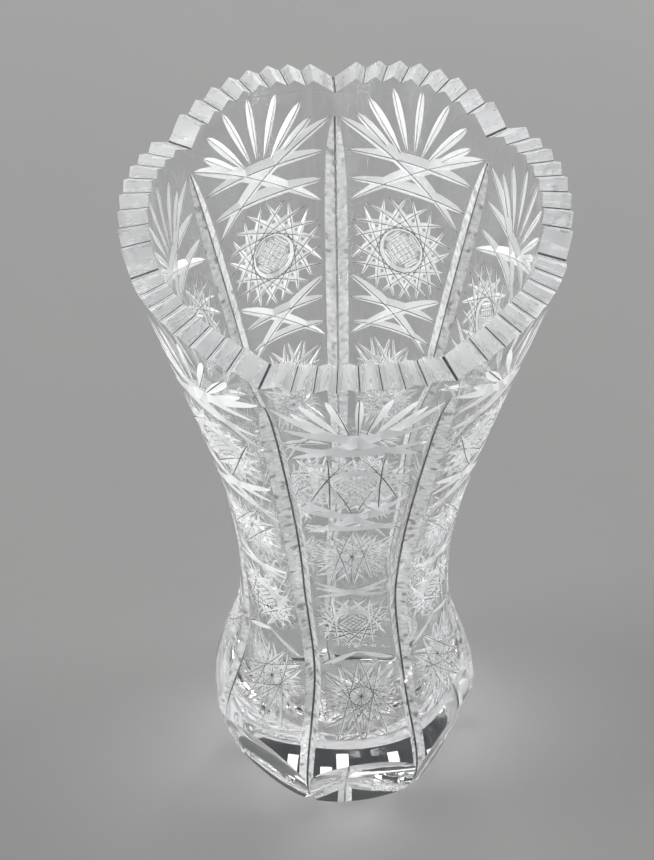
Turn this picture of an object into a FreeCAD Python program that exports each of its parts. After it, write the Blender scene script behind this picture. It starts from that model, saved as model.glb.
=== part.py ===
import FreeCAD, Part
import os
from math import cos, pi, radians, sin, tan

# Cut crystal vase: one heavy piece of colourless lead crystal, blown thick and then cut by hand.
# Millimetres, +Z up. The origin is the middle of the foot's flat underside, on the vase's axis.
# Above the waist one dividing groove faces +Y, so the middle of one panel faces -Y.

# Driving dimensions
PANELS = 7                   # lobes round the vase, parted by upright mitre grooves
TEETH_PER_PANEL = 8          # rim teeth on each lobe
RIM_HEIGHT = 258.0           # tallest teeth, at the rim's inner edge
RIM_RADIUS = 69.3            # outside of the blank at that height
RIM_WALL = 9.3               # level thickness of the wall at the rim
WAIST_RADIUS = 34.5
WAIST_HEIGHT = 88.0
BULGE_RADIUS = 44.8          # widest part of the foot
BULGE_HEIGHT = 21.0
BASE_RADIUS = 34.6
BASE_THICKNESS = 24.0        # solid glass under the hollow

# Outside of the blank, from under the base to above the rim: (radius, height)
OUTER_PROFILE = (
    (30.4, -4.0),
    (BASE_RADIUS, 0.0),
    (41.9, 9.5),
    (BULGE_RADIUS, BULGE_HEIGHT),
    (38.0, 55.0),
    (WAIST_RADIUS, WAIST_HEIGHT),
    (39.8, 138.0),
    (51.0, 187.0),
    (RIM_RADIUS, RIM_HEIGHT),
    (72.0, RIM_HEIGHT + 10.0),
)

# Inside of the blank, from the middle of its floor to above the rim: (radius, height)
INNER_PROFILE = (
    (0.0, BASE_THICKNESS),
    (17.0, BASE_THICKNESS + 3.5),
    (26.0, BASE_THICKNESS + 17.0),
    (24.8, WAIST_HEIGHT),
    (30.2, 138.0),
    (41.6, 187.0),
    (RIM_RADIUS - RIM_WALL, RIM_HEIGHT),
    (62.3, RIM_HEIGHT + 10.0),
)

# Dividing grooves: (height, width of the groove across the surface)
GROOVE_WIDTHS = (
    (-3.5, 5.0),
    (0.0, 5.0),
    (3.0, 5.0),
    (7.0, 5.0),
    (12.0, 5.0),
    (21.0, 5.0),
    (38.0, 5.2),
    (50.0, 5.3),
    (62.0, 5.4),
    (70.0, 5.5),
    (79.0, 5.6),
    (88.0, 5.8),
    (98.0, 6.2),
    (108.0, 6.6),
    (120.0, 7.0),
    (150.0, 8.2),
    (185.0, 8.4),
    (210.0, 8.0),
    (224.0, 6.4),
    (232.0, 4.0),
    (237.0, 0.8),
)
GROOVE_HALF_ANGLE = 54.0     # from the middle of the groove to either wall
GROOVE_REACH = 6.0           # how far the cutting wedge stands out of the glass

# The grooves and thumbprints lean round the axis towards the foot, as they were laid out by hand
FOOT_TWIST = 6.0             # degrees, the whole turn, reached below TWIST_BOTTOM
TWIST_TOP = 118.0
TWIST_BOTTOM = 62.0

# Rim: every notch is a straight mitre cut along a radius, sloping down outwards
RIM_STEPS = TEETH_PER_PANEL + 1
NOTCH_HALF_ANGLE = 53.0
NOTCH_SLOPE = 12.0
NOTCH_REACH = 26.0           # height of the cutting wedge
LOBE_RISE = 5.6              # crown of a lobe above the line where two lobes meet

# Thumbprint cut on the foot of each lobe
THUMB_WHEEL_RADIUS = 150.0
THUMB_HEIGHT = 16.5
THUMB_TILT = 13.0            # the cut leans in towards the base
THUMB_SEAT = 38.6            # distance from the axis to the middle of the cut


def profile_curve(points):
    """Smooth upright curve in the XZ plane through (radius, height) points."""
    curve = Part.BSplineCurve()
    curve.interpolate([FreeCAD.Vector(radius, 0, height) for radius, height in points])
    return curve


def turned_solid(points):
    """Solid of revolution between a profile and the axis."""
    curve = profile_curve(points)
    start = FreeCAD.Vector(points[0][0], 0, points[0][1])
    end = FreeCAD.Vector(points[-1][0], 0, points[-1][1])
    top = FreeCAD.Vector(0, 0, points[-1][1])
    bottom = FreeCAD.Vector(0, 0, points[0][1])
    edges = [curve.toShape(), Part.makeLine(end, top), Part.makeLine(top, bottom)]
    if points[0][0] > 0:
        edges.append(Part.makeLine(bottom, start))
    face = Part.Face(Part.Wire(edges))
    return face.revolve(FreeCAD.Vector(0, 0, 0), FreeCAD.Vector(0, 0, 1), 360)


def outer_radius(curve, height):
    """Radius of the blank's outside at a height."""
    level = Part.LineSegment(FreeCAD.Vector(0, 0, height), FreeCAD.Vector(RIM_RADIUS * 2, 0, height))
    return curve.intersectCC(level)[0].X


def foot_twist(height):
    """Turn of the cut pattern about the axis at a height, in degrees: it fades out above the waist."""
    share = (TWIST_TOP - height) / (TWIST_TOP - TWIST_BOTTOM)
    share = min(1.0, max(0.0, share))
    return FOOT_TWIST * share * share * (3 - 2 * share)


def groove_section(radius, height, width):
    """Triangle whose point is the bottom of the dividing groove at one height, cut towards +X."""
    depth = width / 2 / tan(radians(GROOVE_HALF_ANGLE))
    reach = depth + GROOVE_REACH
    half = reach * tan(radians(GROOVE_HALF_ANGLE))
    bottom = FreeCAD.Vector(radius - depth, 0, height)
    left = FreeCAD.Vector(radius - depth + reach, half, height)
    right = FreeCAD.Vector(radius - depth + reach, -half, height)
    section = Part.makePolygon([bottom, left, right, bottom])
    section.rotate(FreeCAD.Vector(0, 0, 0), FreeCAD.Vector(0, 0, 1), foot_twist(height))
    return section


def dividing_groove(curve):
    """Cutter for one upright groove, from under the foot to its pointed tip below the rim."""
    sections = [
        groove_section(outer_radius(curve, height), height, width)
        for height, width in GROOVE_WIDTHS
    ]
    return Part.makeLoft(sections, True, True)


def rim_notch(angle, bottom_height):
    """Wedge that cuts one rim notch; bottom_height is where its deepest line meets the outside."""
    half = NOTCH_REACH * tan(radians(NOTCH_HALF_ANGLE))
    triangle = Part.makePolygon([
        FreeCAD.Vector(0, 0, 0),
        FreeCAD.Vector(0, half, NOTCH_REACH),
        FreeCAD.Vector(0, -half, NOTCH_REACH),
        FreeCAD.Vector(0, 0, 0),
    ])
    wedge = Part.Face(triangle).extrude(FreeCAD.Vector(5 * RIM_WALL, 0, 0))
    wedge.translate(FreeCAD.Vector(-3 * RIM_WALL, 0, 0))
    wedge.rotate(FreeCAD.Vector(0, 0, 0), FreeCAD.Vector(0, 1, 0), NOTCH_SLOPE)
    wedge.translate(FreeCAD.Vector(RIM_RADIUS, 0, bottom_height))
    wedge.rotate(FreeCAD.Vector(0, 0, 0), FreeCAD.Vector(0, 0, 1), angle)
    return wedge


def rim_notches():
    """Every notch round the rim: a deep one between lobes and seven small ones on each lobe."""
    crown = RIM_HEIGHT - RIM_WALL * tan(radians(NOTCH_SLOPE))
    pitch = 2 * pi * RIM_RADIUS / (PANELS * RIM_STEPS)
    fall = 1 / tan(radians(NOTCH_HALF_ANGLE))
    notches = []
    for panel in range(PANELS):
        for step in range(TEETH_PER_PANEL):
            # A deep notch reaches the teeth one step either side of it, a small one half a step.
            place, reach, level = (0, pitch, 1) if step == 0 else (step + 0.5, pitch / 2, step + 0.5)
            arch = LOBE_RISE * (2 * level / RIM_STEPS - 1) ** 2
            angle = 90 + (panel + place / RIM_STEPS) * 360 / PANELS
            notches.append(rim_notch(angle, crown - arch - reach * fall))
    return notches


def thumbprint(panel):
    """Wheel that hollows the foot of one lobe: a wide cylinder lying along the surface."""
    length = 2 * BULGE_RADIUS
    wheel = Part.makeCylinder(
        THUMB_WHEEL_RADIUS, length, FreeCAD.Vector(0, -length / 2, 0), FreeCAD.Vector(0, 1, 0)
    )
    tilt = radians(THUMB_TILT)
    wheel.translate(FreeCAD.Vector(
        THUMB_SEAT + THUMB_WHEEL_RADIUS * cos(tilt),
        0,
        THUMB_HEIGHT - THUMB_WHEEL_RADIUS * sin(tilt),
    ))
    middle = 90 + (panel + 0.5) * 360 / PANELS + foot_twist(THUMB_HEIGHT)
    wheel.rotate(FreeCAD.Vector(0, 0, 0), FreeCAD.Vector(0, 0, 1), middle)
    return wheel


def vase():
    """The whole vase: turned blank, hollowed, every groove, notch and thumbprint cut, base ground flat."""
    curve = profile_curve(OUTER_PROFILE)
    glass = turned_solid(OUTER_PROFILE).cut(turned_solid(INNER_PROFILE))
    for panel in range(PANELS):
        groove = dividing_groove(curve)
        groove.rotate(
            FreeCAD.Vector(0, 0, 0), FreeCAD.Vector(0, 0, 1), 90 + panel * 360 / PANELS
        )
        glass = glass.cut(groove)
    for panel in range(PANELS):
        glass = glass.cut(thumbprint(panel))
    for notch in rim_notches():
        glass = glass.cut(notch)
    floor = Part.makeCylinder(2 * RIM_RADIUS, RIM_RADIUS, FreeCAD.Vector(0, 0, -RIM_RADIUS))
    return glass.cut(floor)


os.makedirs("parts", exist_ok=True)
body = vase()
print("crystal_vase", body.ShapeType, len(body.Solids), body.isValid(), body.Volume, body.BoundBox)
body.Solids[0].exportStep("parts/crystal_vase.step")
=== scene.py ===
import random
from math import cos, degrees, radians, sin, sqrt, tan

import bmesh
import bpy
import numpy as np
from mathutils import Matrix, Vector


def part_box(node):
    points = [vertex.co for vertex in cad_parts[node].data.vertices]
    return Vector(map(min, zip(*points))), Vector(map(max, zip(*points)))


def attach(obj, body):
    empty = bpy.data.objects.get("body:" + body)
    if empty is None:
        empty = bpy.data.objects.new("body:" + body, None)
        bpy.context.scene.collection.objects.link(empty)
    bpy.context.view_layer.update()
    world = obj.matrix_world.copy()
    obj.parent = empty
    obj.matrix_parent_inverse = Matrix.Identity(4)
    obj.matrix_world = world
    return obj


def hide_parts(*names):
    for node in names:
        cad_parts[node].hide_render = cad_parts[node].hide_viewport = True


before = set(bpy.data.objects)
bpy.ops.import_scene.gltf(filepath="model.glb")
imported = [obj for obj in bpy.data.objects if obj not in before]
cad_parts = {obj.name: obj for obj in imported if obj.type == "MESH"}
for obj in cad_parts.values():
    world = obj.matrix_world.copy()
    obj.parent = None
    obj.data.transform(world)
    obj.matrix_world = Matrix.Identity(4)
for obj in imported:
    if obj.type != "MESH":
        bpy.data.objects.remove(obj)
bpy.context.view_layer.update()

# A cut crystal vase: one piece of lead crystal. The blank is turned, then every cut is taken out of it with
# a wedge or scoop of its own, as the glass cutter's wheel does. Sizes are in millimetres until the mesh is
# made, and lamps, floor and camera are in metres. The angles named below are in degrees.
MM = 0.001

# The blank, as in the CAD model: (radius, height)
OUTER_PROFILE = (
    (30.4, -4.0), (34.6, 0.0), (41.9, 9.5), (44.8, 21.0), (38.0, 55.0), (34.5, 88.0),
    (39.8, 138.0), (51.0, 187.0), (69.3, 258.0), (72.0, 268.0),
)
INNER_PROFILE = (
    (0.0, 24.0), (17.0, 27.5), (26.0, 41.0), (24.8, 88.0), (30.2, 138.0), (41.6, 187.0),
    (60.0, 258.0), (62.3, 268.0),
)
RIM_HEIGHT = 258.0
RIM_RADIUS = 69.3
RIM_WALL = 9.3
BLANK_TOP = 263.0            # the blank stands this high before its rim is cut
PANELS = 7
PANEL_ANGLE = 360.0 / PANELS
TEETH_PER_PANEL = 8
RIM_STEPS = TEETH_PER_PANEL + 1
NOTCH_HALF_ANGLE = 53.0
NOTCH_SLOPE = 12.0           # the rim's notches drop towards the outside
LOBE_RISE = 5.6              # the rim is this much higher in the middle of a panel than at its sides
GROOVE_HALF_ANGLE = 54.0
GROOVE_WIDTHS = (            # (height, width) of the grooves between the panels
    (-3.5, 5.0), (0.0, 5.0), (3.0, 5.0), (7.0, 5.0), (12.0, 5.0), (21.0, 5.0), (38.0, 5.2), (50.0, 5.3),
    (62.0, 5.4), (70.0, 5.5), (79.0, 5.6), (88.0, 5.8), (98.0, 6.2), (108.0, 6.6), (120.0, 7.0),
    (150.0, 8.2), (185.0, 8.4), (210.0, 8.0), (224.0, 6.4), (232.0, 4.0), (237.0, 0.8),
)
GROOVE_CLEARANCE = 4.0       # how far a groove's cutter stands proud of the glass
FOOT_TWIST = 6.0             # the cuts lean round the axis by this much, from the twist's top to its bottom
TWIST_TOP = 118.0
TWIST_BOTTOM = 62.0
THUMB_HEIGHT = 16.5          # middle of the scoops on the foot
THUMB_TILT = 13.0
THUMB_SEAT = 38.6            # from the axis to the middle of a scoop
THUMB_WHEEL_RADIUS = 150.0

COLUMNS = 14                 # facets across one panel of the blank
CLEARANCE = 0.35             # how far the cutter of a fine cut stands proud of the glass
LONGEST_CUT = 60.0           # no fine cut is longer than this
SHARP_ANGLE = 14.0           # edges that turn more than this stay crisp

# Small distances on the finished mesh, in metres
ON_PLANE = 2e-6              # points this near to a panel's side count as on it
WELD = 4e-6                  # points of two panels this near to each other become one
SLIVER = 3e-6                # shortest edge kept

HAND = random.Random(7)      # small unevenness of hand cutting, the same in every run

# Which finish each kind of face gets: the order of the vase's material slots
CLEAR, LEAF, STAR, BUTTON, GROOVE, RIM, POLISHED = range(7)
OFF_WHEEL = 99.0, 0.0        # for a point with no cut of its own


def smooth_curve(points, steps=24):
    """Dense points on a natural cubic spline through points, spaced by chord length."""
    points = np.array(points, float)
    knots = np.concatenate([[0], np.cumsum(np.linalg.norm(np.diff(points, axis=0), axis=1))])
    gaps = np.diff(knots)
    count = len(points)
    system = np.eye(count)
    right = np.zeros((count, 2))
    for i in range(1, count - 1):
        system[i, i - 1:i + 2] = gaps[i - 1], 2 * (gaps[i - 1] + gaps[i]), gaps[i]
        right[i] = 6 * ((points[i + 1] - points[i]) / gaps[i] - (points[i] - points[i - 1]) / gaps[i - 1])
    bend = np.linalg.solve(system, right)
    dense = []
    for i in range(count - 1):
        for t in np.arange(steps) / steps * gaps[i]:
            back = gaps[i] - t
            dense.append(
                (bend[i] * back ** 3 + bend[i + 1] * t ** 3) / (6 * gaps[i])
                + (points[i] / gaps[i] - bend[i] * gaps[i] / 6) * back
                + (points[i + 1] / gaps[i] - bend[i + 1] * gaps[i] / 6) * t
            )
    dense.append(points[-1])
    return np.array(dense)


OUTER = smooth_curve(OUTER_PROFILE)
INNER = smooth_curve(INNER_PROFILE)


def outer_radius(height):
    return np.interp(height, OUTER[:, 1], OUTER[:, 0])


def inner_radius(height):
    return np.interp(height, INNER[:, 1], INNER[:, 0])


def lean(radius_at, height, span=1.0):
    """Change of a wall's radius per millimetre of height, measured over a short span."""
    return (radius_at(height + span / 2) - radius_at(height - span / 2)) / span


def at(angle, radius, height):
    """Point on the vase: angle in degrees from +X towards +Y."""
    return Vector((radius * cos(radians(angle)), radius * sin(radians(angle)), height))


def mesh_of(name, solid, material=CLEAR):
    """Closed mesh from a solid in millimetres, its faces turned outwards and split into triangles.

    A solid is its points, its faces, and for each point where it lies on the wheel that cuts it:
    millimetres from the middle of the cut, and along it. The mesh keeps that as a UV map, so the finish
    can follow the cut.
    """
    points, faces, on_wheel = solid
    points = np.array([tuple(p) for p in points])
    triangles = np.array([
        (face[0], face[i], face[i + 1]) for face in faces for i in range(1, len(face) - 1)
    ])
    a, b, c = points[triangles[:, 0]], points[triangles[:, 1]], points[triangles[:, 2]]
    if (a * np.cross(b, c)).sum() < 0:
        triangles = triangles[:, ::-1]
    mesh = bpy.data.meshes.new(name)
    mesh.from_pydata(points * MM, [], triangles)
    mesh.polygons.foreach_set("material_index", [material] * len(triangles))
    uv = mesh.uv_layers.new(name="wheel")
    uv.data.foreach_set("uv", np.array(on_wheel, float)[triangles.ravel()].ravel())
    mesh.update()
    return mesh


def strip_solid(sections, on_wheel=None):
    """Solid lofted through sections that have as many points each, with a flat face at either end."""
    points = [p for section in sections for p in section]
    size = len(sections[0])
    last = (len(sections) - 1) * size
    faces = []
    for start in range(0, last, size):
        for k in range(size):
            m = (k + 1) % size
            faces.append((start + k, start + m, start + size + m, start + size + k))
    faces.append(tuple(range(size))[::-1])
    faces.append(tuple(range(last, last + size)))
    return points, faces, on_wheel or [OFF_WHEEL] * len(points)


def turned(solid, angle):
    """The same solid turned about the axis."""
    points, faces, on_wheel = solid
    spin = Matrix.Rotation(radians(angle), 3, "Z")
    return [spin @ p for p in points], faces, on_wheel


def joined(solids):
    """One solid from several that don't touch."""
    points, faces, on_wheel = [], [], []
    for more_points, more_faces, more_on_wheel in solids:
        start = len(points)
        points += more_points
        faces += [tuple(start + i for i in face) for face in more_faces]
        on_wheel += more_on_wheel
    return points, faces, on_wheel


# ---- the blank of one panel ----

def blank_sector():
    """One panel of the turned blank, over-wide by a column at both sides.

    Its profile goes up the outside, over the rim, down the hollow and back along the axis.
    """
    outer_heights = np.concatenate([np.arange(0, 36, 3.0), np.arange(36, BLANK_TOP, 4.2), [BLANK_TOP]])
    profile = [(outer_radius(h), h) for h in outer_heights]
    hollow = [tuple(p) for p in INNER[::4] if 1.0 < p[0] and p[1] < BLANK_TOP - 2]
    profile += [(inner_radius(BLANK_TOP), BLANK_TOP)] + hollow[::-1]
    profile += [(0.0, INNER_PROFILE[0][1]), (0.0, 0.0)]
    step = PANEL_ANGLE / COLUMNS
    sections = [
        [at(-90 + (k - COLUMNS / 2) * step, *place) for place in profile]
        for k in range(-1, COLUMNS + 2)
    ]
    return strip_solid(sections)


# ---- cutters for the large cuts ----

def notch_height(away, bottom, radius):
    """Height of a rim notch's wall, an angle away from its deepest line."""
    slope = tan(radians(NOTCH_SLOPE))
    rise = 1 / tan(radians(NOTCH_HALF_ANGLE)) / cos(radians(NOTCH_SLOPE))
    away = radians(away)
    return bottom + (RIM_RADIUS - radius * cos(away)) * slope + radius * abs(sin(away)) * rise


def rim_notches():
    """Angle and bottom height of each notch across one panel, a deep one at either side."""
    crown = RIM_HEIGHT - RIM_WALL * tan(radians(NOTCH_SLOPE))
    pitch = radians(PANEL_ANGLE / RIM_STEPS) * RIM_RADIUS
    fall = 1 / tan(radians(NOTCH_HALF_ANGLE))
    # In steps across the panel: where a notch is, where its height is taken from, and how far it reaches
    deep = [(0, 1, 1), (RIM_STEPS, 1, 1)]
    small = [(step + 0.5, step + 0.5, 0.5) for step in range(1, TEETH_PER_PANEL)]
    return [
        ((place / RIM_STEPS - 0.5) * PANEL_ANGLE,
         crown - LOBE_RISE * (2 * level / RIM_STEPS - 1) ** 2 - reach * pitch * fall)
        for place, level, reach in sorted(deep + small)
    ]


def ridge(left, right, radius):
    """Angle and height where the walls of two neighbouring notches meet."""
    low, high = left[0], right[0]
    for _ in range(40):
        middle = (low + high) / 2
        from_left = notch_height(middle - left[0], left[1], radius)
        from_right = notch_height(right[0] - middle, right[1], radius)
        if from_left < from_right:
            low = middle
        else:
            high = middle
    return low, notch_height(low - left[0], left[1], radius)


def rim_cutter():
    """Block above the teeth of one panel: its underside is the zigzag of the rim."""
    notches = rim_notches()
    radii = RIM_RADIUS - 2.2 * RIM_WALL, RIM_RADIUS + RIM_WALL
    top = RIM_HEIGHT + 30
    step = PANEL_ANGLE / RIM_STEPS
    first, last = notches[0], notches[-1]
    lines = [[(first[0] - step, notch_height(step, first[1], radius)) for radius in radii]]
    for i, notch in enumerate(notches):
        lines.append([(notch[0], notch_height(0, notch[1], radius)) for radius in radii])
        if notch != last:
            lines.append([ridge(notch, notches[i + 1], radius) for radius in radii])
    lines.append([(last[0] + step, notch_height(step, last[1], radius)) for radius in radii])
    sections, on_wheel = [], []
    for i, ((inner_angle, inner_height), (outer_angle, outer_height)) in enumerate(lines):
        sections.append([
            at(-90 + inner_angle, radii[0], inner_height),
            at(-90 + outer_angle, radii[1], outer_height),
            at(-90 + outer_angle, radii[1], top),
            at(-90 + inner_angle, radii[0], top),
        ])
        # 0 along each notch's bottom, where the rim gets its painted shade line
        wall = 0.0 if i % 2 else radians(step / 2) * RIM_RADIUS / sin(radians(NOTCH_HALF_ANGLE))
        on_wheel += [(wall, radii[0]), (wall, radii[1]), (wall, radii[1]), (wall, radii[0])]
    return strip_solid(sections, on_wheel=on_wheel)


def groove_cutter(side):
    """Wedge along the dividing groove at one side of the panel."""
    slope = tan(radians(GROOVE_HALF_ANGLE))
    heights = np.array([h for h, _ in GROOVE_WIDTHS])
    widths = np.array([w for _, w in GROOVE_WIDTHS])
    places = np.concatenate([np.arange(-3.5, 36, 3.2), np.arange(40, 216, 5.5), np.arange(218, 237.1, 3.1)])
    sections, on_wheel = [], []
    for height in places:
        depth = np.interp(height, heights, widths) / 2 / slope
        radius = outer_radius(height) - depth
        reach = depth + GROOVE_CLEARANCE
        sections.append([
            Vector((0, -radius, height)),
            Vector((-reach * slope, -radius - reach, height)),
            Vector((reach * slope, -radius - reach, height)),
        ])
        wall = reach * sqrt(1 + slope ** 2)
        # 0 along the groove's bottom, where it gets its painted shade line
        on_wheel += [(0.0, height), (-wall, height), (wall, height)]
    return turned(strip_solid(sections, on_wheel=on_wheel), side * PANEL_ANGLE / 2)


def thumb_cutter():
    """Block with a shallow round face, across the foot of the panel."""
    half_width, half_height, thickness, steps = 18.4, 24.0, 16.0, 16
    tilt = radians(THUMB_TILT)
    middle = Vector((0, -THUMB_SEAT, THUMB_HEIGHT))
    up = Vector((0, -sin(tilt), cos(tilt)))
    out = Vector((0, -cos(tilt), -sin(tilt)))
    face = []
    for k in range(steps + 1):
        along = half_height * (2 * k / steps - 1)
        hollow = THUMB_WHEEL_RADIUS - sqrt(THUMB_WHEEL_RADIUS ** 2 - along ** 2)
        face.append(middle + up * along + out * hollow)
    back = middle + out * thickness
    outline = face + [back + up * half_height, back - up * half_height]
    side = Vector((half_width, 0, 0))
    return strip_solid([[p - side for p in outline], [p + side for p in outline]])


# ---- cutters for the wheel cuts of the pattern ----

class Cut:
    """One mitre cut on a panel: a wedge that follows the glass from point to point.

    path gives its centre line from 0 to 1. It tapers to a point at either end: as a leaf whose halves swell
    by the powers in shape or, where flat is given, straight over that share of its length. A cut can be
    made without the painted shade that darkens the line at its bottom.
    """

    def __init__(
        self, path, half_width, half_angle=36.0, shape=(0.8, 0.8), steps=8, flat=None, has_painted_shade=True,
    ):
        self.slope = tan(radians(half_angle))
        self.path = path
        self.half_width = half_width
        self.shape = shape
        self.steps = steps
        self.flat = flat
        # middle is the wheel map's value along the cut's bottom: 0 puts the painted shade line there, 1
        # moves it off
        self.middle = 0.0 if has_painted_shade else 1.0
        self.build()

    def width_at(self, t):
        """Half width of the cut at a fraction of its length."""
        if self.flat is not None:
            return self.half_width * min(1.0, t / self.flat, (1 - t) / self.flat)
        rise, fall = self.shape
        peak = rise / (rise + fall)
        return self.half_width * (t / peak) ** rise * ((1 - t) / (1 - peak)) ** fall

    def build(self):
        """Centre points, half widths at the top of the cutter, and the lofted solid."""
        self.centres, self.reaches = [], []
        rings, on_wheel = [], []
        along = HAND.uniform(0, 90)      # each cut starts at its own place on the wheel
        for k in range(self.steps + 1):
            t = k / self.steps
            here = self.path(t)
            ahead = self.path(min(1, t + 0.02)) - self.path(max(0, t - 0.02))
            flat = sqrt(here.x ** 2 + here.y ** 2)
            normal = Vector((here.x / flat, here.y / flat, -lean(outer_radius, here.z))).normalized()
            side = ahead.cross(normal).normalized()
            depth = self.width_at(t) / self.slope
            reach = (depth + CLEARANCE) * self.slope
            wall = (depth + CLEARANCE) * sqrt(1 + self.slope ** 2)
            if self.centres:
                along += (here - self.centres[-1]).length
            self.centres.append(here)
            self.reaches.append(reach)
            top = here + normal * CLEARANCE
            if k in (0, self.steps):
                rings.append([top])
                on_wheel.append((self.middle, along))
            else:
                rings.append([here - normal * depth, top + side * reach, top - side * reach])
                side_place = self.middle + wall
                on_wheel += [(self.middle, along), (side_place, along), (-side_place, along)]
        points = [rings[0][0]]
        for ring in rings[1:-1]:
            points += ring
        points.append(rings[-1][0])
        faces = []
        last = len(points) - 1
        for k in range(3):
            m = (k + 1) % 3
            faces.append((0, 1 + m, 1 + k))
            faces.append((last, last - 3 + k, last - 3 + m))
            for i in range(self.steps - 2):
                a = 1 + 3 * i
                faces.append((a + k, a + m, a + 3 + m, a + 3 + k))
        self.solid = points, faces, on_wheel


def on_glass(angle, height):
    """Point on the outside: angle in degrees from the middle of the panel that faces -Y."""
    return at(-90 + angle, outer_radius(height), height)


def line(start, end, sag=0.0):
    """Straight cut between two (angle, height) places, dropping by sag in its middle."""
    def path(t):
        angle = start[0] + (end[0] - start[0]) * t
        height = start[1] + (end[1] - start[1]) * t - 4 * sag * t * (1 - t)
        return on_glass(angle, height)
    return path


def flat_point(centre_height, x, y):
    """(angle, height) of a point x, y mm from a motif's middle on the panel's centre line."""
    tilt = sqrt(1 + lean(outer_radius, centre_height) ** 2)
    height = centre_height + y / tilt
    return degrees(x / outer_radius(centre_height)), height


def motif_line(centre_height, start, end):
    """Straight cut between two x, y points of a motif."""
    def path(t):
        x = start[0] + (end[0] - start[0]) * t
        y = start[1] + (end[1] - start[1]) * t
        return on_glass(*flat_point(centre_height, x, y))
    return path


def around(radius, angle):
    """Point of a motif at an angle round its middle, off by the width of a hair as the cutter's hand is."""
    x, y = radius * sin(radians(angle)), radius * cos(radians(angle))
    return x + HAND.uniform(-0.12, 0.12), y + HAND.uniform(-0.12, 0.12)


def clipped(start, end, limit):
    """The part of a motif's line between the two dividing grooves, or None."""
    (x0, y0), (x1, y1) = start, end
    low, high = 0.0, 1.0
    if abs(x1 - x0) > 1e-6:
        a, b = sorted(((-limit - x0) / (x1 - x0), (limit - x0) / (x1 - x0)))
        low, high = max(low, a), min(high, b)
    elif abs(x0) > limit:
        return None
    if high - low < 0.2:
        return None
    return (
        (x0 + (x1 - x0) * low, y0 + (y1 - y0) * low),
        (x0 + (x1 - x0) * high, y0 + (y1 - y0) * high),
    )


def star(centre_height, radius, skip, half_width, limit, has_painted_shade=True):
    """Chords of a star, each from one point to the one skip places round."""
    cuts = []
    chords = STAR_POINTS if 2 * skip != STAR_POINTS else STAR_POINTS // 2
    for k in range(chords):
        start = around(radius, 360 * k / STAR_POINTS)
        end = around(radius, 360 * (k + skip) / STAR_POINTS)
        ends = clipped(start, end, limit)
        if ends:
            cuts.append(Cut(motif_line(centre_height, *ends), half_width, flat=0.3, has_painted_shade=has_painted_shade))
    return cuts


def hatch(centre_height, radius, pitch, half_width):
    """Two crossed sets of fine cuts over a round button."""
    cuts = []
    reach = int(radius * 0.96 / pitch)
    for turn in (45, -45):
        for k in range(-reach, reach + 1):
            offset = k * pitch
            half = sqrt(radius ** 2 - offset ** 2)
            along = Vector((cos(radians(turn)), sin(radians(turn))))
            across = Vector((-along.y, along.x)) * offset
            start, end = across - along * half, across + along * half
            cuts.append(Cut(
                motif_line(centre_height, start, end), half_width, half_angle=45.0, steps=4,
                flat=min(0.24, 0.9 / half),
            ))
    return cuts


def fan():
    """Seven leaves that spread from the upper band to just below the rim."""
    root = 218.0
    start = 0.2                  # each leaf begins this far along the way from the root to its tip
    tips = (
        (-19.0, 237.6, 1.5), (-16.2, 243.8, 1.6), (-8.8, 248.6, 1.35), (0.2, 250.2, 1.3),
        (9.0, 248.8, 1.35), (16.2, 244.2, 1.6), (19.6, 238.4, 1.5),
    )
    cuts = []
    for angle, height, half_width in tips:
        foot = angle * start, root + (height - root) * start
        cuts.append(Cut(line(foot, (angle, height)), half_width, shape=(1.3, 0.75)))
    return cuts


def bands():
    """Long crossed leaves above and below the upper hobstar, and the thin bands lower down."""
    long_leaves = (
        ((-25.3, 237.2), (22.0, 206.0), 0.3, 2.4),
        ((25.3, 237.2), (-22.0, 206.0), 0.3, 2.4),
        ((-22.8, 224.8), (22.8, 224.8), 0.9, 2.35),
        ((-22.4, 214.6), (22.4, 214.6), 0.5, 2.35),
        ((-21.6, 180.2), (20.8, 156.5), 0.0, 1.9),
        ((21.6, 180.2), (-20.8, 156.5), 0.0, 1.9),
        ((-21.2, 171.8), (21.2, 171.0), 0.6, 1.9),
        ((-20.8, 162.0), (20.8, 161.6), -0.4, 1.6),
        ((-20.4, 124.5), (20.4, 114.6), 0.0, 1.1),
        ((20.4, 124.5), (-20.4, 114.6), 0.0, 1.1),
        ((-20.4, 120.4), (20.4, 120.4), 0.3, 1.1),
        ((-20.6, 77.5), (2.0, 85.6), 0.0, 1.0),
        ((20.6, 77.5), (-2.0, 85.6), 0.0, 1.0),
    )
    return [
        Cut(line(start, end, sag), half_width, shape=(0.7, 0.85), steps=12)
        for start, end, sag, half_width in long_leaves
    ]


STAR_POINTS = 16
HOBSTAR_SKIP = 6
HOBSTARS = (
    # middle height, radius, half width of its cuts, clear half width of the panel, hatch pitch,
    # whether its cuts get painted shade along their bottoms
    (191.8, 21.3, 1.25, 19.6, 1.85, True),
    (101.0, 15.4, 0.95, 12.8, 1.5, False),
)
STARBURSTS = (
    # middle height, radius, clear half width of the panel: one at the waist, one on the foot
    (141.2, 19.6, 13.8),
    (61.5, 20.4, 14.0),
)


def leaf_cuts():
    """The leaves and hobstars of one panel."""
    cuts = fan() + bands()
    for height, radius, half_width, limit, _, has_painted_shade in HOBSTARS:
        cuts += star(height, radius, HOBSTAR_SKIP, half_width, limit, has_painted_shade)
    return cuts


def starburst_cuts():
    """The two dense stars with no button: long chords, and shorter rays through the middle."""
    cuts = []
    for height, radius, limit in STARBURSTS:
        cuts += star(height, radius, STAR_POINTS // 2 - 1, 0.95, limit)
        cuts += star(height, radius * 0.8, STAR_POINTS // 2, 0.7, limit)
    return cuts


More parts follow.
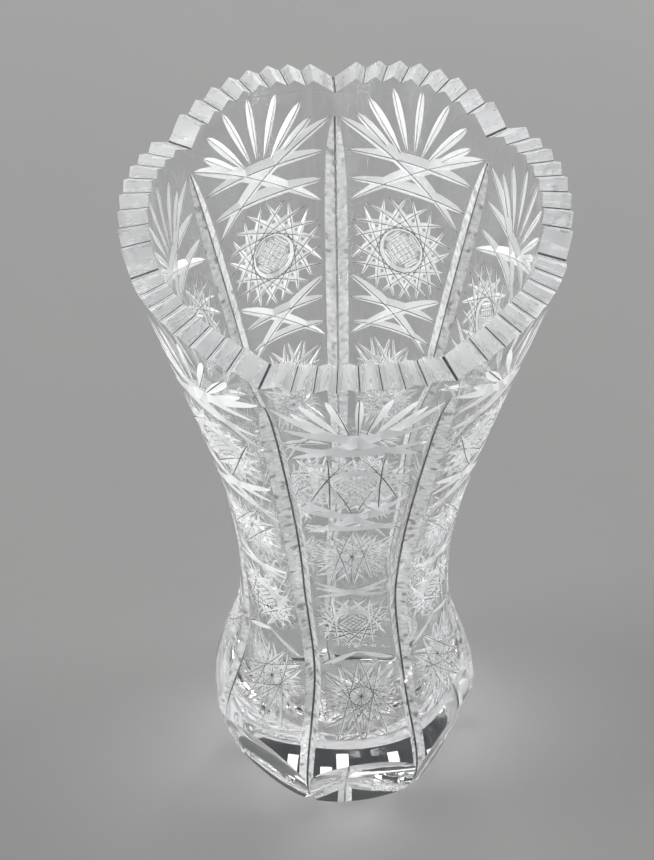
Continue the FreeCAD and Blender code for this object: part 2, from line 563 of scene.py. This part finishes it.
def button_cuts():
    """The hatched button inside each hobstar, as wide as the cuts round it leave room for."""
    cuts = []
    for height, radius, half_width, _, pitch, _ in HOBSTARS:
        clear = radius * cos(radians(180 * HOBSTAR_SKIP / STAR_POINTS)) - half_width * 0.85
        cuts += hatch(height, clear, pitch, pitch * 0.43)
    return cuts


def apart(one, other):
    """True if two cuts' cutters don't touch."""
    a = np.array([tuple(p) for p in one.centres])
    b = np.array([tuple(p) for p in other.centres])
    if np.linalg.norm(a.mean(axis=0) - b.mean(axis=0)) > LONGEST_CUT:
        return True
    fine = np.linspace(0, 1, 33)
    grid = np.linspace(0, 1, len(a)), np.linspace(0, 1, len(b))
    a_fine = np.stack([np.interp(fine, grid[0], a[:, i]) for i in range(3)], axis=1)
    b_fine = np.stack([np.interp(fine, grid[1], b[:, i]) for i in range(3)], axis=1)
    a_reach = np.interp(fine, grid[0], one.reaches)
    b_reach = np.interp(fine, grid[1], other.reaches)
    gap = np.linalg.norm(a_fine[:, None] - b_fine[None], axis=2)
    return bool((gap > 1.1 * (a_reach[:, None] + b_reach[None]) + 0.8).all())


def in_groups(cuts):
    """Cuts sorted into groups whose cutters don't touch each other."""
    groups = []
    for cut in cuts:
        for group in groups:
            if all(apart(cut, other) for other in group):
                group.append(cut)
                break
        else:
            groups.append([cut])
    return groups


def subtract(target, cutter_solid, material):
    """Takes a cutter out of the target object's mesh."""
    mesh = mesh_of("cutter", cutter_solid, material)
    cutter = bpy.data.objects.new("cutter", mesh)
    bpy.context.scene.collection.objects.link(cutter)
    modifier = target.modifiers.new("cut", "BOOLEAN")
    modifier.operation = "DIFFERENCE"
    modifier.solver = "MANIFOLD"
    modifier.object = cutter
    shown = target.evaluated_get(bpy.context.evaluated_depsgraph_get())
    result = bpy.data.meshes.new_from_object(shown)
    target.modifiers.clear()
    old = target.data
    target.data = result
    bpy.data.meshes.remove(old)
    bpy.data.objects.remove(cutter)
    bpy.data.meshes.remove(mesh)


def cut_panel():
    """One panel of the glass with every cut taken out of it, still over-wide at both sides."""
    panel = bpy.data.objects.new("panel", mesh_of("panel", blank_sector()))
    bpy.context.scene.collection.objects.link(panel)
    for cuts, material in ((leaf_cuts(), LEAF), (starburst_cuts(), STAR), (button_cuts(), BUTTON)):
        for group in in_groups(cuts):
            subtract(panel, joined([cut.solid for cut in group]), material)
    subtract(panel, joined([groove_cutter(-1), groove_cutter(1)]), GROOVE)
    subtract(panel, thumb_cutter(), POLISHED)
    subtract(panel, rim_cutter(), RIM)
    return panel


def without_slivers(work):
    """Splits the glass into triangles and takes out the slivers that the cuts leave, so it stays closed."""
    bmesh.ops.dissolve_degenerate(work, edges=work.edges[:], dist=SLIVER)
    bmesh.ops.triangulate(work, faces=work.faces[:], quad_method="BEAUTY", ngon_method="BEAUTY")
    bmesh.ops.dissolve_degenerate(work, edges=work.edges[:], dist=SLIVER)


def trimmed(panel):
    """The panel's mesh, cut back to exactly its share of the way round."""
    work = bmesh.new()
    work.from_mesh(panel.data)
    for side in (-1, 1):
        angle = radians(-90 + side * PANEL_ANGLE / 2)
        outwards = Vector((-sin(angle), cos(angle), 0)) * side
        bmesh.ops.bisect_plane(
            work, geom=work.verts[:] + work.edges[:] + work.faces[:], dist=ON_PLANE,
            plane_co=(0, 0, 0), plane_no=outwards, clear_outer=True,
        )
    bmesh.ops.delete(work, geom=[edge for edge in work.edges if edge.is_wire], context="EDGES")
    one = bpy.data.meshes.new("one_panel")
    work.to_mesh(one)
    work.free()
    return one


def whole_vase(one):
    """Every panel welded into one closed glass."""
    work = bmesh.new()
    for _ in range(PANELS):
        one.transform(Matrix.Rotation(radians(PANEL_ANGLE), 4, "Z"))
        work.from_mesh(one)
    seam = [vert for vert in work.verts if vert.is_boundary]
    bmesh.ops.remove_doubles(work, verts=seam, dist=WELD)
    without_slivers(work)
    mesh = bpy.data.meshes.new("cut_crystal_vase")
    work.to_mesh(mesh)
    work.free()
    return mesh


def values_of(items, name, width=3, kind=float):
    """One value of every vertex, face or corner of a mesh as an array, a row for each."""
    values = np.empty(len(items) * width, kind)
    items.foreach_get(name, values)
    return values.reshape(-1, width) if width > 1 else values


def twist_foot(mesh):
    """Turns the cut pattern about the axis below the waist; the turned surfaces stay where they are."""
    x, y, z = values_of(mesh.vertices, "co").T
    share = np.clip((TWIST_TOP - z / MM) / (TWIST_TOP - TWIST_BOTTOM), 0, 1)
    turn = np.radians(FOOT_TWIST) * share * share * (3 - 2 * share)
    cosine, sine = np.cos(turn), np.sin(turn)
    twisted = np.stack([x * cosine - y * sine, x * sine + y * cosine, z], axis=1)
    mesh.vertices.foreach_set("co", twisted.ravel())
    mesh.update()


def mark_sharp_edges(mesh):
    """Shades the mesh smooth but keeps the edges of the cuts, and every border between finishes, crisp."""
    work = bmesh.new()
    work.from_mesh(mesh)
    sharp = [
        edge.calc_face_angle(0) > radians(SHARP_ANGLE)
        or len({face.material_index for face in edge.link_faces}) > 1
        for edge in work.edges
    ]
    work.free()
    mesh.edges.foreach_set("use_edge_sharp", sharp)
    mesh.polygons.foreach_set("use_smooth", [True] * len(mesh.polygons))
    mesh.update()


def shade_turned_faces(mesh):
    """Gives the corners of the turned faces the normals of true curves, and the underside a flat one."""
    corner = values_of(mesh.corner_normals, "vector")
    where = values_of(mesh.vertices, "co")[values_of(mesh.loops, "vertex_index", 1, int)] / MM
    sizes = values_of(mesh.polygons, "loop_total", 1, int)
    finish = np.repeat(values_of(mesh.polygons, "material_index", 1, int), sizes)
    flat = np.repeat(values_of(mesh.polygons, "normal"), sizes, axis=0)
    radius = np.maximum(np.hypot(where[:, 0], where[:, 1]), 1e-6)
    level = (finish == CLEAR) & (flat[:, 2] < -0.99)
    for radius_at, sign in ((outer_radius, 1), (inner_radius, -1)):
        slope = lean(radius_at, where[:, 2], 0.5)
        curved = np.stack([where[:, 0] / radius, where[:, 1] / radius, -slope], axis=1) * sign
        curved /= np.maximum(np.linalg.norm(curved, axis=1), 1e-6)[:, None]
        here = (finish == CLEAR) & ~level & ((flat * curved).sum(axis=1) > 0.9)
        corner[here] = curved[here]
    corner[level] = (0, 0, -1)
    mesh.normals_split_custom_set(corner)


# ---- materials ----

PALE = 0.98, 0.985, 0.99
# colour of the painted shade along the bottoms of the cuts and in the groove's flecks
SHADE = 0.04, 0.04, 0.045
CRYSTAL_IOR = 1.55


def new_material(name):
    """Empty material: its node tree and its output node."""
    material = bpy.data.materials.new(name)
    material.use_nodes = True
    nodes = material.node_tree.nodes
    nodes.clear()
    output = nodes.new("ShaderNodeOutputMaterial")
    return material, nodes, material.node_tree.links, output


def noise(nodes, links, scale):
    """Procedural noise fixed to the object, scale in repeats per metre."""
    place = nodes.new("ShaderNodeTexCoord")
    texture = nodes.new("ShaderNodeTexNoise")
    texture.inputs["Scale"].default_value = scale
    texture.inputs["Detail"].default_value = 3.0
    links.new(place.outputs["Object"], texture.inputs["Vector"])
    return texture.outputs["Fac"]


def wheel_marks(nodes, links, across, along, detail=3.0):
    """Noise that follows each cut, in repeats per millimetre across it and along it."""
    wheel = nodes.new("ShaderNodeUVMap")
    wheel.uv_map = "wheel"
    stretch = nodes.new("ShaderNodeMapping")
    stretch.inputs["Scale"].default_value = (across, along, 1)
    texture = nodes.new("ShaderNodeTexNoise")
    texture.inputs["Scale"].default_value = 1.0
    texture.inputs["Detail"].default_value = detail
    links.new(wheel.outputs["UV"], stretch.inputs["Vector"])
    links.new(stretch.outputs["Vector"], texture.inputs["Vector"])
    return texture.outputs["Fac"]


def painted_shade_line(nodes, links, half_width):
    """Painted shade mask: 1 along the line where the walls of a cut meet, 0 away from it; half_width is in
    millimetres.
    """
    wheel = nodes.new("ShaderNodeUVMap")
    wheel.uv_map = "wheel"
    across = nodes.new("ShaderNodeSeparateXYZ")
    links.new(wheel.outputs["UV"], across.inputs["Vector"])
    away = nodes.new("ShaderNodeMath")
    away.operation = "ABSOLUTE"
    links.new(across.outputs["X"], away.inputs[0])
    return spread(nodes, links, away.outputs["Value"], 1.0, 0.0, half_width, half_width * 1.5)


def spread(nodes, links, value, low, high, start=0.3, end=0.7):
    """A value's range from start to end remapped to low to high."""
    remap = nodes.new("ShaderNodeMapRange")
    remap.inputs["From Min"].default_value = start
    remap.inputs["From Max"].default_value = end
    remap.inputs["To Min"].default_value = low
    remap.inputs["To Max"].default_value = high
    links.new(value, remap.inputs["Value"])
    return remap.outputs["Result"]


def mixed(nodes, links, share, first, second):
    """Mix of two shaders; share is a number or a socket."""
    mix = nodes.new("ShaderNodeMixShader")
    if isinstance(share, float):
        mix.inputs["Fac"].default_value = share
    else:
        links.new(share, mix.inputs["Fac"])
    links.new(first, mix.inputs[1])
    links.new(second, mix.inputs[2])
    return mix.outputs["Shader"]


def painted_shade_flecks(nodes, links, share):
    """Share of painted shade: 0.6 in scattered flecks and 0 between them; a larger share gives more of
    them.
    """
    specks = wheel_marks(nodes, links, 0.3, 0.3, 1.5)
    return spread(nodes, links, specks, 0.0, 0.6, 0.76 - share, 0.88 - share)


def finish_marks(nodes, links, marks):
    """What varies a finish: wheel marks made a little uneven, or broad noise for glass no wheel touched."""
    if not marks:
        return noise(nodes, links, 25)
    uneven = nodes.new("ShaderNodeMix")
    uneven.inputs["Factor"].default_value = 0.35
    links.new(wheel_marks(nodes, links, *marks), uneven.inputs["A"])
    links.new(noise(nodes, links, 110), uneven.inputs["B"])
    return uneven.outputs["Result"]


def shaded_share(nodes, links, painted_shade_half_width, flecks):
    """Share of painted shade on a cut: 1 along the line at its bottom, less in its flecks, 0 elsewhere."""
    shade = painted_shade_line(nodes, links, painted_shade_half_width)
    if not flecks:
        return shade
    both = nodes.new("ShaderNodeMath")
    both.operation = "MAXIMUM"
    links.new(shade, both.inputs[0])
    links.new(painted_shade_flecks(nodes, links, flecks), both.inputs[1])
    return both.outputs["Value"]


def shaded_glass(nodes):
    """Dark glass that stands for the shade at the bottom of a cut."""
    dark = nodes.new("ShaderNodeBsdfPrincipled")
    dark.inputs["Base Color"].default_value = (*SHADE, 1)
    dark.inputs["IOR"].default_value = CRYSTAL_IOR
    dark.inputs["Roughness"].default_value = 0.2
    dark.inputs["Transmission Weight"].default_value = 0.6
    return dark.outputs["BSDF"]


def crystal(name, marks, roughness, wave, passes, milk=(0.0, 0.0), glow=0.0, painted_shade_half_width=0.0, flecks=0.0):
    """Lead crystal with a finish.

    marks are the wheel's marks across and along a cut, in repeats per millimetre, or None for glass no
    wheel touched. roughness and milk, the share that scatters back, are ranges that the marks drive, and
    wave is the depth of the marks in metres. passes is the share of lamp light let straight through, glow
    the share that scatters forwards, and crease the half width in millimetres of the painted shade along
    the bottom of each cut. flecks is about how much of the surface gets painted shade in scattered flecks.
    """
    material, nodes, links, output = new_material(name)
    glass = nodes.new("ShaderNodeBsdfPrincipled")
    glass.inputs["Base Color"].default_value = (*PALE, 1)
    glass.inputs["IOR"].default_value = CRYSTAL_IOR
    texture = finish_marks(nodes, links, marks)
    links.new(spread(nodes, links, texture, *roughness), glass.inputs["Roughness"])
    links.new(spread(nodes, links, texture, 1 - milk[0], 1 - milk[1]), glass.inputs["Transmission Weight"])
    bump = nodes.new("ShaderNodeBump")
    bump.inputs["Distance"].default_value = wave
    links.new(texture, bump.inputs["Height"])
    links.new(bump.outputs["Normal"], glass.inputs["Normal"])
    surface = glass.outputs["BSDF"]
    if glow:
        forward = nodes.new("ShaderNodeBsdfTranslucent")
        forward.inputs["Color"].default_value = (*PALE, 1)
        surface = mixed(nodes, links, glow, surface, forward.outputs["BSDF"])
    if painted_shade_half_width:
        # painted shade: dark glass mixed in along the bottom of each cut and in the flecks
        shade = shaded_share(nodes, links, painted_shade_half_width, flecks)
        surface = mixed(nodes, links, shade, surface, shaded_glass(nodes))
    clear = nodes.new("ShaderNodeBsdfTransparent")
    clear.inputs["Color"].default_value = (passes, passes, passes, 1)
    rays = nodes.new("ShaderNodeLightPath")
    seen = mixed(nodes, links, rays.outputs["Is Shadow Ray"], surface, clear.outputs["BSDF"])
    links.new(seen, output.inputs["Surface"])
    return material


def glass_materials():
    """The finishes in slot order: clear, leaf, star, button, groove, rim, polished."""
    return [
        crystal("clear_crystal", marks=None, roughness=(0.0, 0.004), wave=0.00002, passes=0.6),
        crystal(
            "satin_leaf", marks=(1.6, 0.12), roughness=(0.45, 0.6), wave=0.00004, passes=0.25,
            milk=(0.5, 0.6), glow=0.35, painted_shade_half_width=0.24,
        ),
        crystal(
            "bright_star", marks=(1.6, 0.12), roughness=(0.15, 0.5), wave=0.00012, passes=0.35,
            milk=(0.1, 0.6), glow=0.2, painted_shade_half_width=0.13,
        ),
        crystal(
            "hatched_button", marks=(2.5, 0.3), roughness=(0.3, 0.45), wave=0.00004, passes=0.3,
            milk=(0.3, 0.45), glow=0.3, painted_shade_half_width=0.12,
        ),
        # the groove gets painted shade in flecks as well as along its bottom
        crystal(
            "mottled_groove", marks=(0.35, 0.5), roughness=(0.03, 0.25), wave=0.0006, passes=0.5,
            milk=(0.05, 0.65), glow=0.1, painted_shade_half_width=0.36, flecks=0.21,
        ),
        crystal(
            "streaked_rim", marks=(0.9, 0.10), roughness=(0.12, 0.5), wave=0.00015, passes=0.5,
            milk=(0.25, 0.55), glow=0.15, painted_shade_half_width=0.2,
        ),
        crystal("polished_cut", marks=None, roughness=(0.0, 0.01), wave=0.00002, passes=0.6),
    ]


# ---- the set ----

def floor():
    """Pale table top, faintly uneven in tone."""
    mesh = bpy.data.meshes.new("floor")
    half = 3.0
    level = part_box("crystal_vase")[0][2] - 0.00015       # just clear of the underside
    corners = [(-half, -half, level), (half, -half, level), (half, half, level), (-half, half, level)]
    mesh.from_pydata(corners, [], [(0, 1, 2, 3)])
    plane = bpy.data.objects.new("floor", mesh)
    bpy.context.scene.collection.objects.link(plane)
    material, nodes, links, output = new_material("pale_floor")
    surface = nodes.new("ShaderNodeBsdfPrincipled")
    surface.inputs["Roughness"].default_value = 0.7
    tone = nodes.new("ShaderNodeMix")
    tone.data_type = "RGBA"
    tone.inputs["A"].default_value = (0.33, 0.33, 0.33, 1)
    tone.inputs["B"].default_value = (0.37, 0.37, 0.36, 1)
    links.new(noise(nodes, links, 6), tone.inputs["Factor"])
    links.new(tone.outputs["Result"], surface.inputs["Base Color"])
    links.new(surface.outputs["BSDF"], output.inputs["Surface"])
    mesh.materials.append(material)


def soft_box(name, place, aim, size, power):
    """Soft rectangular light."""
    light = bpy.data.lights.new(name, "AREA")
    light.shape = "RECTANGLE"
    light.size, light.size_y = size
    light.energy = power
    lamp = bpy.data.objects.new(name, light)
    lamp.location = place
    lamp.rotation_euler = (Vector(aim) - Vector(place)).to_track_quat("-Z", "Y").to_euler()
    bpy.context.scene.collection.objects.link(lamp)


SOFT_BOXES = (
    # name, place, height that it aims at on the axis, size, power
    ("left_light", (-1.9, 0.1, 0.6), 0.15, (0.8, 0.55), 34),
    ("right_light", (1.9, 0.45, 0.55), 0.15, (0.7, 0.5), 27),
    ("back_light", (0.3, 1.9, 0.6), 0.15, (1.4, 0.5), 32),
    ("front_light", (-0.5, -1.8, 0.4), 0.12, (0.8, 0.4), 6),
)
HIGH_LIGHTS = 14
HIGH_LIGHT_PITCH = 0.15
HIGH_LIGHT_REACH = 1.8


def lights():
    """Low soft boxes that rake the cuts, and a staggered row of small ones high behind the vase.

    The small ones give the foot its sparkle.
    """
    for name, place, aim_height, size, power in SOFT_BOXES:
        soft_box(name, place, (0, 0, aim_height), size, power)
    for k in range(HIGH_LIGHTS):
        rise = radians(44 + 5 * (k * 2 % 3))
        x = HIGH_LIGHT_PITCH * k - 0.98
        place = x, HIGH_LIGHT_REACH * cos(rise), HIGH_LIGHT_REACH * sin(rise)
        soft_box(f"high_light_{k}", place, (x / 2, 0, 0.1), (0.1, 0.3), 0.14)


def surroundings():
    """Dim, slightly cool light from everywhere, long light paths for the glass, and plain colours."""
    scene = bpy.context.scene
    world = bpy.data.worlds.new("studio")
    world.use_nodes = True
    background = world.node_tree.nodes["Background"]
    background.inputs["Color"].default_value = (0.9, 0.95, 1.0, 1)
    background.inputs["Strength"].default_value = 0.05
    scene.world = world
    scene.view_settings.view_transform = "Standard"
    scene.cycles.max_bounces = 24
    scene.cycles.transmission_bounces = 24
    scene.cycles.glossy_bounces = 12


def camera():
    """Camera in front of the vase and well above it, with a long lens."""
    distance, rise, turn = 1.275, radians(50.757), radians(3.6)
    middle = Vector((0, 0, 0.1275))
    away = Vector((-cos(rise) * sin(turn), -cos(rise) * cos(turn), sin(rise)))
    place = middle + away * distance
    right = Vector((0, 0, 1)).cross(away).normalized()
    up = away.cross(right)
    aim = middle - right * 0.0058 + up * 0.0186
    lens = bpy.data.cameras.new("camera")
    lens.sensor_fit = "AUTO"
    lens.sensor_width = 36
    lens.lens = 164.6
    lens.clip_start = 0.05
    eye = bpy.data.objects.new("camera", lens)
    eye.location = place
    eye.rotation_euler = (aim - place).to_track_quat("-Z", "Y").to_euler()
    bpy.context.scene.collection.objects.link(eye)
    bpy.context.scene.camera = eye


def build_vase():
    """The vase: one panel cut, repeated all the way round, and given its finishes."""
    panel = cut_panel()
    mesh = whole_vase(trimmed(panel))
    bpy.data.objects.remove(panel)
    twist_foot(mesh)
    mark_sharp_edges(mesh)
    shade_turned_faces(mesh)
    for material in glass_materials():
        mesh.materials.append(material)
    vase = bpy.data.objects.new("cut_crystal_vase", mesh)
    bpy.context.scene.collection.objects.link(vase)
    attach(vase, "root")
    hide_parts("crystal_vase")


build_vase()
floor()
lights()
surroundings()
camera()
